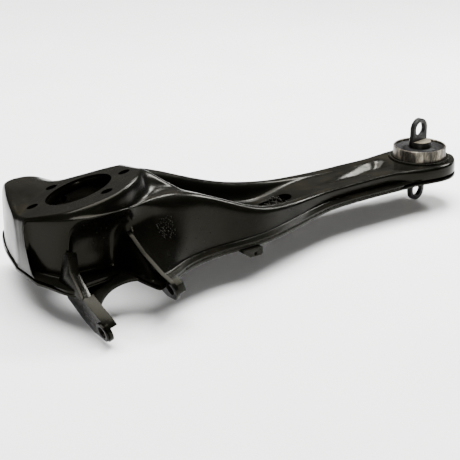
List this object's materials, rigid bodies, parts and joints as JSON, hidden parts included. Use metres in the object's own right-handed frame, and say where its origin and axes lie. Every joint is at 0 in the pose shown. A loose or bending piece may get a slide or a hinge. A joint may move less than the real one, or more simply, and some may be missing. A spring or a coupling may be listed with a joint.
{
  "type": "trailing control arm",
  "caption": "Stamped steel rear trailing arm: welded clamshell body, tilted hub mounting face, link clevis and bonded bush with a lugged cross bar.",
  "frame": {"origin": "middle of the bush, on its axis and halfway between the two chassis bolt holes", "axes": "+Z along the bush axis, away from the lower pressing; +X from the hub to the bush; +Y away from the link clevis"},
  "size_m": [0.626, 0.2693, 0.1401],
  "materials": {
    "black_paint": "gloss black electrocoat over pressed steel",
    "bare_steel": "phosphated mild steel tube, mottled grey",
    "bar_steel": "forged steel, black phosphate",
    "rubber": "natural rubber, moulded and bonded"
  },
  "bodies": {
    "arm": {"upper_pressing": "black_paint", "lower_pressing": "black_paint", "hub_plate": "black_paint", "hub_weld_nuts": "bare_steel", "inner_bulkhead": "black_paint", "pocket_ledge_brace": "black_paint", "front_ear": "black_paint", "rear_ear": "black_paint", "link_weld_nut": "black_paint", "ear_washer": "black_paint", "ear_bridge": "black_paint", "hose_bracket": "black_paint", "bracket_nut": "black_paint", "bush_collar": "black_paint", "bush_sleeve": "bare_steel", "outer_rubber": "rubber", "collar_welds": "black_paint", "flange_welds": "black_paint"},
    "bush_core": {"inner_rubber": "rubber"},
    "bar": {"cross_bar": "bar_steel"}
  },
  "joints": [
    {"name": "bush_tilt", "type": "hinge", "parent": "arm", "child": "bush_core", "pos_m": [0, 0, 0], "axis": [0, 1, 0], "range_deg": [-4, 4], "stiffness_Nm_per_rad": 60},
    {"name": "bush_twist", "type": "hinge", "parent": "bush_core", "child": "bar", "pos_m": [0, 0, 0], "axis": [0, 0, 1], "range_deg": [-20, 20], "stiffness_Nm_per_rad": 40}
  ]
}
